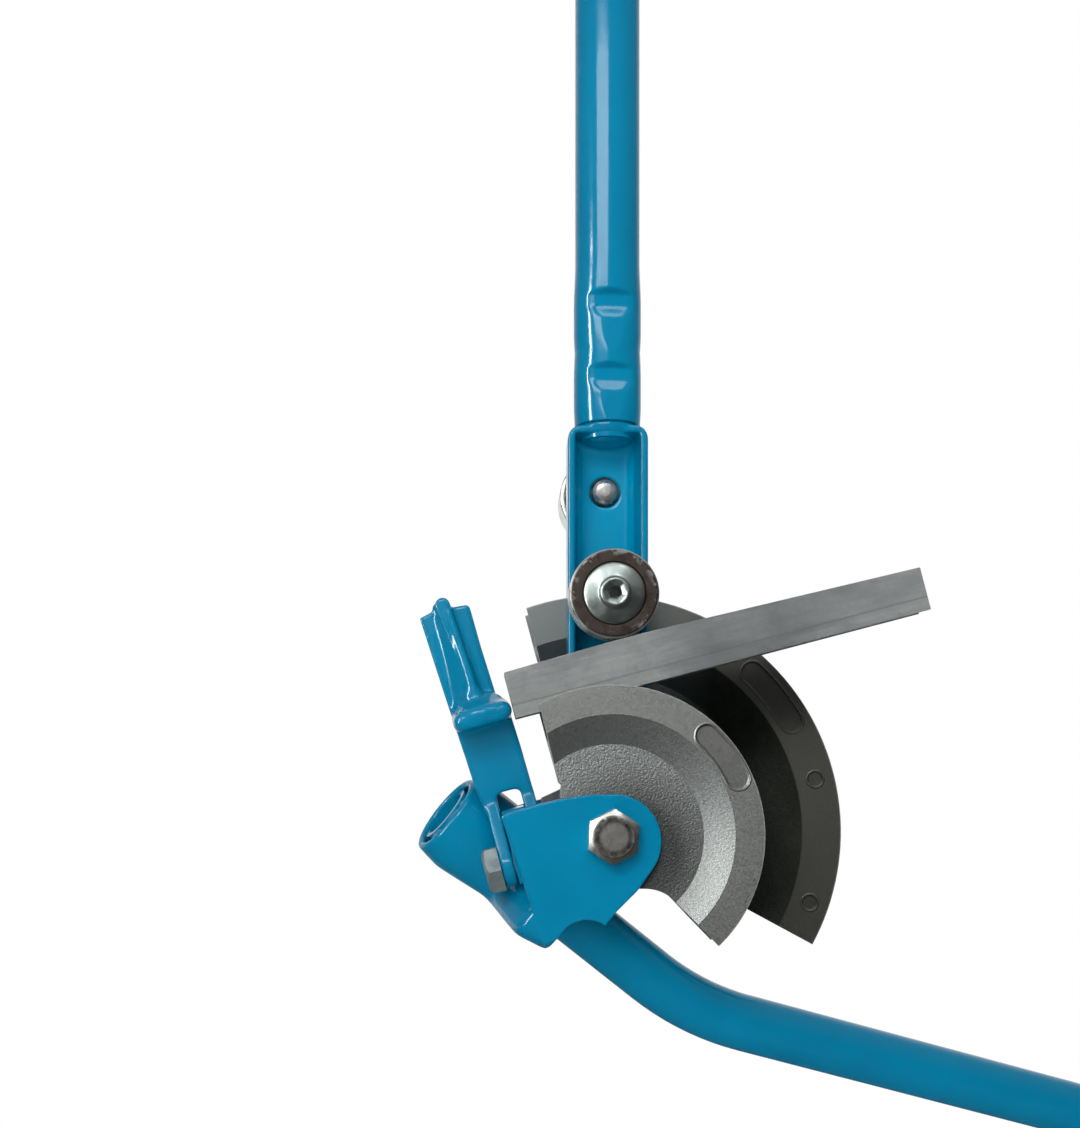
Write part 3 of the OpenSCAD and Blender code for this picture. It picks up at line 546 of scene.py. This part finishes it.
def finish_of(node):
    """The material slot that the record gives to a node."""
    for subpart in frame["record"]["subparts"]:
        if subpart["node"] == node:
            return subpart["material_slot"]
    raise KeyError(node)


def dress(obj, material):
    obj.data.materials.clear()
    obj.data.materials.append(material)


for name, obj in frame["nodes"].items():
    for slot in obj.material_slots:
        slot.material = NODE_FINISH.get(name, SLOT_FINISH[finish_of(name)])


# ---- Edges of the CAD solids ----------------------------------------------------------------

EDGE_WIDTHS = {
    "former_15": 0.5, "former_22": 0.6, "guide_15": 0.25, "near_roller": 0.2, "far_roller": 0.3,
    "pivot_bolt": 0.2, "hook_bolt": 0.2, "pivot_nut": 0.2, "pivot_washer": 0.2, "lever_cap": 0.3,
    "hook_lug": 0.5,
}


def round_edges(obj, width, sharper_than):
    """Rounds edges sharper than an angle in degrees by a width in millimetres."""
    bevel = obj.modifiers.new("edges", "BEVEL")
    bevel.width = width * MM
    bevel.segments = 2
    bevel.limit_method = "ANGLE"
    bevel.angle_limit = math.radians(sharper_than)
    shade = obj.modifiers.new("shade", "WEIGHTED_NORMAL")
    shade.weight = 60


for node, width in EDGE_WIDTHS.items():
    weld = frame["nodes"][node].modifiers.new("weld", "WELD")
    weld.merge_threshold = WELD_GAP
    round_edges(frame["nodes"][node], width, 20)


# ---- Mesh helpers ---------------------------------------------------------------------------

def add_object(name, data):
    obj = bpy.data.objects.new(name, data)
    bpy.context.scene.collection.objects.link(obj)
    return obj


def smooth_faces(mesh):
    mesh.polygons.foreach_set("use_smooth", [True] * len(mesh.polygons))


def band(first, second, around):
    """Faces between two rings of points, from the number at which each ring starts."""
    steps = [(j, (j + 1) % around) for j in range(around)]
    return [(first + j, first + k, second + k, second + j) for j, k in steps]


def swell(bm, place, radii, tilt=0.0):
    """Adds a round swelling at a place, with its three radii in millimetres."""
    shape = (Matrix.Translation(place) @ Matrix.Rotation(tilt, 4, "Y")
             @ Matrix.Diagonal([r * MM for r in radii] + [1]))
    bmesh.ops.create_icosphere(bm, subdivisions=3, radius=1.0, matrix=shape)


def rod(bm, start, end, radius):
    """Adds a closed round bar between two places, radius in millimetres."""
    along = end - start
    turn = along.to_track_quat("Z", "Y").to_matrix().to_4x4()
    shape = Matrix.Translation((start + end) / 2) @ turn
    bmesh.ops.create_cone(bm, cap_ends=True, segments=16, radius1=radius * MM,
                          radius2=radius * MM, depth=along.length, matrix=shape)


def bar(bm, outline, along):
    """Adds a closed bar: an outline of places, carried along in millimetres."""
    step = Vector(along) * MM
    ends = [[bm.verts.new(place + shift) for place in outline] for shift in (Vector(), step)]
    bm.faces.new(ends[0])
    bm.faces.new(reversed(ends[1]))
    for i in range(len(outline)):
        k = (i + 1) % len(outline)
        bm.faces.new((ends[0][k], ends[0][i], ends[1][i], ends[1][k]))


def relax(mesh, rounds, share):
    """Draws each point to the middle of its neighbours; share gives how far, by its place."""
    count = len(mesh.vertices)
    places = np.empty(count * 3)
    mesh.vertices.foreach_get("co", places)
    places = places.reshape(-1, 3)
    ends = np.empty(len(mesh.edges) * 2, dtype=np.int32)
    mesh.edges.foreach_get("vertices", ends)
    first, second = ends.reshape(-1, 2).T
    near = np.concatenate((first, second))
    other = np.concatenate((second, first))
    degree = np.bincount(near, minlength=count)[:, None]
    step = np.clip(share(places), 0, 1)[:, None] * 0.6
    for _ in range(rounds):
        sums = np.stack([np.bincount(near, places[other, axis], count) for axis in range(3)], 1)
        places = places + step * (sums / degree - places)
    mesh.vertices.foreach_set("co", places.ravel())
    mesh.update()


def everywhere(places):
    """Full smoothing all over."""
    return np.ones(len(places))


def skin_over(node, body, voxel, rounds, finish, share, add):
    """One smooth skin over a CAD solid and the fillets added to it; it stands for the solid."""
    bm = bmesh.new()
    bm.from_mesh(frame["nodes"][node].data)
    bmesh.ops.remove_doubles(bm, verts=bm.verts, dist=WELD_GAP)
    add(bm)
    rough = bpy.data.meshes.new(node + "_rough")
    bm.to_mesh(rough)
    bm.free()
    obj = add_object(node + "_skin", rough)
    remesh = obj.modifiers.new("skin", "REMESH")
    remesh.mode = "VOXEL"
    remesh.voxel_size = voxel * MM
    graph = bpy.context.evaluated_depsgraph_get()
    mesh = bpy.data.meshes.new_from_object(obj.evaluated_get(graph))
    obj.modifiers.clear()
    obj.data = mesh
    relax(mesh, rounds, share)
    smooth_faces(mesh)
    dress(obj, finish)
    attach(obj, body)
    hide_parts(node)


# ---- Hook -----------------------------------------------------------------------------------

def hook_fillets(bm):
    """Rounded shoe of the near pad and the flare where the rib runs into it."""
    pad, arm = 58.0, -14.3                      # height of the pad's face, depth of the arm
    rib, left, right = -36.8, -43.6, -29.0      # places along the lead-in
    shoe = arm - 4.2
    swells = [((rib, shoe, pad + 0.6), (11.0, 5.6, 4.2)),
              ((left, shoe, pad - 1.0), (5.0, 5.0, 4.2)),
              ((right, shoe, pad - 0.4), (4.6, 5.0, 4.0))]
    swells += [((rib, arm - 1.5 - 2.5 * i, pad + 4.4 - 0.95 * i), (10.2 - 0.35 * i, 4.0, 4.4))
               for i in range(6)]
    swells += [((rib - 1.2, arm - 4.0, pad + 7.0), (4.6, 4.6, 6.0)),
               ((left, arm + 0.5, pad + 22), (4.0, 1.5, 26.0))]
    for place, radii in swells:
        swell(bm, on_lead(*place), radii, -LEAD_TILT)


def pad_share(places):
    """Full smoothing round the pad and the rib's foot, half elsewhere."""
    foot = np.array(on_lead(-36.8, -21.0, 60.0))
    away = np.linalg.norm(places - foot, axis=1) / MM
    return np.clip(1.9 - away / 12, 0.45, 1.0)


# ---- Lever channel --------------------------------------------------------------------------

def channel_fillets(bm):
    """Rounded inner corners and sloping walls of the pressed channel, and its neck."""
    half, floor, lip = 13.0, 7.0, -9.6      # inner half width, depths of the floor and the lips
    top = (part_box("lever_channel")[1].z - PIVOT.z) / MM
    for side in (-1, 1):
        for inset, lift in ((0.2, 1.5), (1.3, 0.3)):
            ends = [from_pivot(side * (half - inset), floor - lift, z) for z in (20, top - 3)]
            rod(bm, *ends, 2.2)
    scoop, rim = 8.0, top - 2.6             # radius and height of the round upper end
    bow = [(floor - scoop + scoop * math.sin(a), rim - scoop + scoop * math.cos(a))
           for a in (math.radians(d) for d in range(0, 91, 10))]
    outline = [(floor + 1.5, rim + 1.2), (floor - scoop, rim + 1.2), *bow,
               (floor + 1.5, rim - scoop)]
    bar(bm, [from_pivot(-half - 0.5, y, z) for y, z in outline], (2 * half + 1, 0, 0))
    draft = [(half + 0.6, lip), (half + 0.05, lip), (half - 1.9, floor + 0.6),
             (half + 0.6, floor + 0.6)]
    for side in (-1, 1):
        bar(bm, [from_pivot(side * x, y, 18) for x, y in draft], (0, 0, top - 20))
    swell(bm, from_pivot(0.4, 0.4, top - 0.2), (12.7, 12.4, 6.8))
    for drop, reach in ((1.6, 8.8), (4.2, 6.4)):
        swell(bm, from_pivot(-0.6, 0.9 - reach, top - drop - 1.2), (5.4 + drop * 0.3, 2.4, 0.9))


# ---- Sleeve and cheeks ----------------------------------------------------------------------

MOUTH = from_pivot(-65.3, 0, 7.8)
MOUTH_TURN = Matrix.Rotation(ARM_SLOPE, 3, "Y")
MOUTH_SLANT = Matrix.Rotation(math.radians(15), 3, "Z")
MOUTH_NARROWING = 0.92              # its width from front to back, over its height
LIP_R, LIP_INSET, LIP_ROLL = 15.9, 1.3, 1.75
WELD_R, WELD_INSET = 13.7, 0.4


def on_lip(angle, radius, inward):
    """A place round the sleeve's slanting mouth, in millimetres; at angle pi it is nearest."""
    around = Vector((inward, MOUTH_NARROWING * radius * math.cos(angle), radius * math.sin(angle)))
    return MOUTH + MOUTH_TURN @ (MOUTH_SLANT @ around + Vector((0, 3.4, 0))) * MM


def rolled_lip(bm, near):
    """The rounded lip of one half of the sleeve's mouth."""
    for step in range(60):
        angle = math.radians(6 * step)
        if (math.cos(angle) < 0) == near:
            swell(bm, on_lip(angle, LIP_R, LIP_INSET), (LIP_ROLL,) * 3)


def near_lip(bm):
    """The near half of the lip with the uneven weld beads that hold the tube in it."""
    rolled_lip(bm, True)
    for step in range(11):
        size = 1.15 + 0.35 * math.sin(5.1 * step)
        angle = math.radians(146 + 7.2 * step + 2.5 * math.sin(3.3 * step))
        radius = WELD_R + 0.4 * math.sin(4.3 * step)
        swell(bm, on_lip(angle, radius, WELD_INSET), (size, size * 1.2, size))


def far_lip(bm):
    """The far half of the lip."""
    rolled_lip(bm, False)


def sleeve_share(places):
    """Full smoothing on the sleeve, little on the flat cheek and on the lip of the mouth."""
    inward = (places - np.array(MOUTH)) @ np.array(MOUTH_TURN @ Vector((1, 0, 0)))
    past_lip = np.clip(inward / (9 * MM) - 0.45, 0.04, 1.0)
    fold = from_pivot(-43.0, 0, 7.1)        # a point of the line where the cheek begins
    run, drop = 14.5, -44.0                 # the way that line goes
    across = ((places[:, 0] - fold.x) * -drop + (places[:, 2] - fold.z) * run)
    past_fold = across / math.hypot(run, drop)
    return np.clip(0.5 - past_fold / (7 * MM), 0.05, 1.0) * past_lip


skin_over("hook", "hook", 0.45, 28, cast_blue, pad_share, hook_fillets)
skin_over("lever_channel", "lever", 0.52, 9, channel_blue, everywhere, channel_fillets)
skin_over("bracket_front", "frame", 0.6, 60, gloss_blue, sleeve_share, near_lip)
skin_over("bracket_rear", "frame", 0.6, 60, gloss_blue, sleeve_share, far_lip)


# ---- Lever tube -----------------------------------------------------------------------------

tube_low, tube_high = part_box("lever_tube")
TUBE_R = (tube_high.x - tube_low.x) / 2
TUBE_X = (tube_high.x + tube_low.x) / 2
TUBE_WALL = 2.0 * MM
DENT_TURN = math.radians(5)
DENT_TOPS = (tube_low.z + 52.1 * MM, tube_low.z + 22.9 * MM)


def smooth_step(value, low, high):
    """Runs gently from zero at low to one at high."""
    t = min(max((value - low) / (high - low), 0.0), 1.0)
    return t * t * (3 - 2 * t)


def dent_depth(below):
    """Depth of a pressed dent, in metres, at a length below its sharp upper edge."""
    s = below / MM
    ledge = 2.7 * smooth_step(s, -0.3, 2.2)
    rise = 1.0 - 0.62 * smooth_step(s, 5.5, 12.5) - 0.38 * smooth_step(s, 11.0, 27.0)
    return max(ledge * rise, 0.0) * MM


def dent_spread(below):
    """How much of the widening that goes with a dent there is, from zero to one."""
    return smooth_step(below, -14 * MM, 4 * MM) - smooth_step(below, 14 * MM, 28 * MM)


def tube_point(angle, height):
    """A point of the dented skin; angle zero faces the front."""
    depth = max(dent_depth(top - height) for top in DENT_TOPS)
    spread = 1.0 + 0.045 * max(dent_spread(top - height) for top in DENT_TOPS)
    x = TUBE_R * math.sin(angle - DENT_TURN) * spread
    y = -TUBE_R * math.cos(angle - DENT_TURN)
    if depth > 0:
        # Soft maximum of the round front and the dent's flat floor
        floor = -TUBE_R + depth
        soft = 0.6 * MM
        gap = abs(floor - y) / soft
        y = max(floor, y) + soft * math.log1p(math.exp(-gap)) * min(depth / MM, 1.0)
    c, s = math.cos(DENT_TURN), math.sin(DENT_TURN)
    return Vector((TUBE_X + x * c - y * s, PIVOT.y + x * s + y * c, height))


def bore_point(angle, height):
    """A point of the tube's bore."""
    bore = TUBE_R - TUBE_WALL
    return Vector((TUBE_X + bore * math.sin(angle), PIVOT.y - bore * math.cos(angle), height))


def make_lever_tube():
    """The tube from its upper end down to its crimped foot, and a short way back up its bore."""
    around, step, plain_steps = 128, 0.35 * MM, 24
    low, high = tube_low.z, tube_high.z
    dent_end = DENT_TOPS[0] + 16 * MM
    heights = [low + step * i for i in range(int((dent_end - low) / step))]
    start = heights[-1]
    heights += [start + (high - start) * (i + 1) / plain_steps for i in range(plain_steps)]
    angles = [2 * math.pi * j / around for j in range(around)]
    points = [tube_point(angle, height) for height in heights for angle in angles]
    faces = []
    for i in range(len(heights) - 1):
        faces += band(i * around, (i + 1) * around, around)
    lip, lip_end = len(points), len(points) + around
    points += [bore_point(angle, height) for height in (low, low + 6 * MM) for angle in angles]
    faces += band(lip, 0, around) + band(lip_end, lip, around)
    mesh = bpy.data.meshes.new("lever_tube_skin")
    mesh.from_pydata(points, [], faces)
    mesh.validate()
    mesh.update()
    smooth_faces(mesh)
    obj = add_object("lever_tube_skin", mesh)
    dress(obj, gloss_blue)
    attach(obj, "lever")
    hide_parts("lever_tube")


make_lever_tube()


# ---- Socket screw of the near roller --------------------------------------------------------

def make_near_screw():
    """Flanged screw: dished flange, low collar, socket funnelled down to a hexagon."""
    around, hex_flat, hex_turn = 72, 2.3, math.radians(12)
    axis = middle("near_roller")
    seat = axis.y - 6.5 * MM
    # Radius and height over the seat, from the socket's floor out and down to the shank's end
    socket = [(0.0, -3.0), (hex_flat, -3.0), (hex_flat, 3.5), (hex_flat + 0.1, 4.0),
              (3.5, 4.75), (3.8, 4.9)]
    collar = [(4.4, 5.2), (5.1, 5.25), (5.5, 5.0), (5.8, 4.5), (5.95, 3.9), (6.1, 3.5)]
    flange = [(6.5, 3.2), (7.4, 2.95), (8.4, 2.65), (9.8, 2.2), (11.0, 1.8), (11.6, 1.4),
              (11.9, 0.9), (11.9, 0.0)]
    shank = [(6.0, 0.0), (6.0, -20.0), (5.2, -21.0), (0.0, -21.0)]
    rows = socket + collar + flange + shank
    points, faces = [], []
    for row, (radius, rise) in enumerate(rows):
        for j in range(around):
            a = 2 * math.pi * j / around
            sixth = (a + hex_turn) % (math.pi / 3) - math.pi / 6
            reach = radius * MM / (math.cos(sixth) if row < len(socket) else 1)
            points.append(Vector((axis.x + reach * math.cos(a), seat - rise * MM,
                                  axis.z + reach * math.sin(a))))
    for row in range(len(rows) - 1):
        faces += band((row + 1) * around, row * around, around)
    mesh = bpy.data.meshes.new("near_screw_turned")
    mesh.from_pydata(points, [], faces)
    bm = bmesh.new()
    bm.from_mesh(mesh)
    bmesh.ops.remove_doubles(bm, verts=bm.verts, dist=WELD_GAP)
    bmesh.ops.recalc_face_normals(bm, faces=bm.faces)
    bm.to_mesh(mesh)
    bm.free()
    smooth_faces(mesh)
    obj = add_object("near_screw_turned", mesh)
    round_edges(obj, 0.12, 38)
    dress(obj, zinc)
    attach(obj, "lever")
    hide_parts("near_screw")


make_near_screw()


# ---- Stage ----------------------------------------------------------------------------------

DIM_ROOM = 0.06         # brightness of the room in front of the tool, seen in reflections
AMBIENT = 0.24          # brightness of the plain studio for the light that falls on the tool
FLOOR_DROP = 0.10       # from the tool's lowest point to the floor, metres


def make_stage():
    """Pale floor below the tool, which turns into the white background a little way out."""
    bpy.ops.mesh.primitive_plane_add(size=12, location=(PIVOT.x, 0.0, cad_box[0].z - FLOOR_DROP))
    floor = bpy.context.object
    floor.name = "floor"
    material, g, shader = new_material("pale_floor", 0.0, 0.2)
    shader.inputs["Base Color"].default_value = (0.86, 0.86, 0.86, 1)
    shader.inputs["Roughness"].default_value = 0.9
    where = g.place()
    path = g.nodes.new("ShaderNodeLightPath").outputs
    reflected = g.math("MAXIMUM", path["Is Glossy Ray"], path["Is Transmission Ray"])
    # Reflections meet a dim room on the camera's side and the white sweep behind the object
    sweep = g.ramp(g.axes(where)["Y"], 0.2, 1.2, DIM_ROOM, 1.0)
    glow = g.nodes.new("ShaderNodeEmission")
    g.put(glow, "Strength", g.minus(1.0, g.times(reflected, g.minus(1.0, sweep))))
    white = g.times(g.ramp(g.vector("LENGTH", where), 0.02, 0.15), path["Is Camera Ray"])
    blend = g.nodes.new("ShaderNodeMixShader")
    for index, value in enumerate((g.math("MAXIMUM", white, reflected), shader.outputs[0],
                                   glow.outputs[0])):
        g.put(blend, index, value)
    g.put(g.nodes["Material Output"], "Surface", blend.outputs[0])
    dress(floor, material)


def make_world():
    """White behind the object, a plain pale studio for the light that falls on it."""
    world = bpy.data.worlds.new("studio")
    bpy.context.scene.world = world
    world.use_nodes = True
    g = Graph(world.node_tree)
    g.nodes.clear()
    path = g.nodes.new("ShaderNodeLightPath").outputs
    _, y, z = g.axes(g.nodes.new("ShaderNodeTexCoord").outputs["Generated"])
    # Reflections see the white behind and above the object and a darker room in front of it
    behind = g.ramp(y, 0.4, 1.0, DIM_ROOM, 1.0)
    above = g.ramp(z, 0.2, 0.95, 0.0, 0.4)
    mirrored = g.math("MINIMUM", g.plus(behind, above), 1.0)
    reflected = g.math("MAXIMUM", path["Is Glossy Ray"], path["Is Transmission Ray"])
    lit = g.plus(AMBIENT, g.times(reflected, g.minus(mirrored, AMBIENT)))
    sky = g.nodes.new("ShaderNodeBackground")
    sky.inputs["Color"].default_value = (1, 1, 1, 1)
    g.put(sky, "Strength", g.plus(lit, g.times(path["Is Camera Ray"], g.minus(1.0, lit))))
    g.put(g.nodes.new("ShaderNodeOutputWorld"), "Surface", sky.outputs[0])


def lamp(name, place, aim, size, watts):
    """A flat lamp at a place, facing aim; its size is in metres."""
    data = bpy.data.lights.new(name, "AREA")
    data.shape = "RECTANGLE"
    data.size, data.size_y = size
    data.energy = watts
    obj = add_object(name, data)
    obj.location = place
    obj.rotation_euler = (aim - place).to_track_quat("-Z", "Y").to_euler()
    return obj


def make_lights():
    """Soft light from the front and above; the cards show only in reflections."""
    aim = from_pivot(0, 0, 30)
    upper_front = aim + Vector((-0.40, -1.05, 0.74))
    lamp("front", upper_front, aim, (0.80, 0.30), 6.5)
    lamp("above", aim + Vector((0.22, -0.75, 1.0)), aim, (0.34, 0.26), 1.6)
    fill = lamp("fill", aim + Vector((-0.30, -1.15, 0.30)), aim, (0.60, 0.60), 5)
    back = lamp("back", aim + Vector((0.90, 0.85, 0.60)), aim, (0.60, 0.60), 6)
    for soft in (fill, back):
        soft.visible_glossy = False
    front_card = lamp("front_card", upper_front, aim, (0.80, 0.30), 6.5)
    side_card = lamp("side_card", aim + Vector((-0.94, -0.50, 0.24)), aim, (0.15, 0.70), 13)
    for card in (front_card, side_card):
        card.visible_diffuse = False


def make_camera():
    """Looks straight along +Y; the shifts bring the tool to its place in the picture."""
    data = bpy.data.cameras.new("camera")
    data.sensor_width = 36
    data.lens = 43.085
    data.shift_x = 0.03546
    data.shift_y = 0.18794
    data.clip_start = 10 * MM
    camera = add_object("camera", data)
    camera.location = from_pivot(-42.96, -545.8, 23.04)
    camera.rotation_euler = (math.radians(90), 0, 0)
    bpy.context.scene.camera = camera


make_stage()
make_world()
make_lights()
make_camera()
bpy.context.scene.view_settings.view_transform = "Standard"
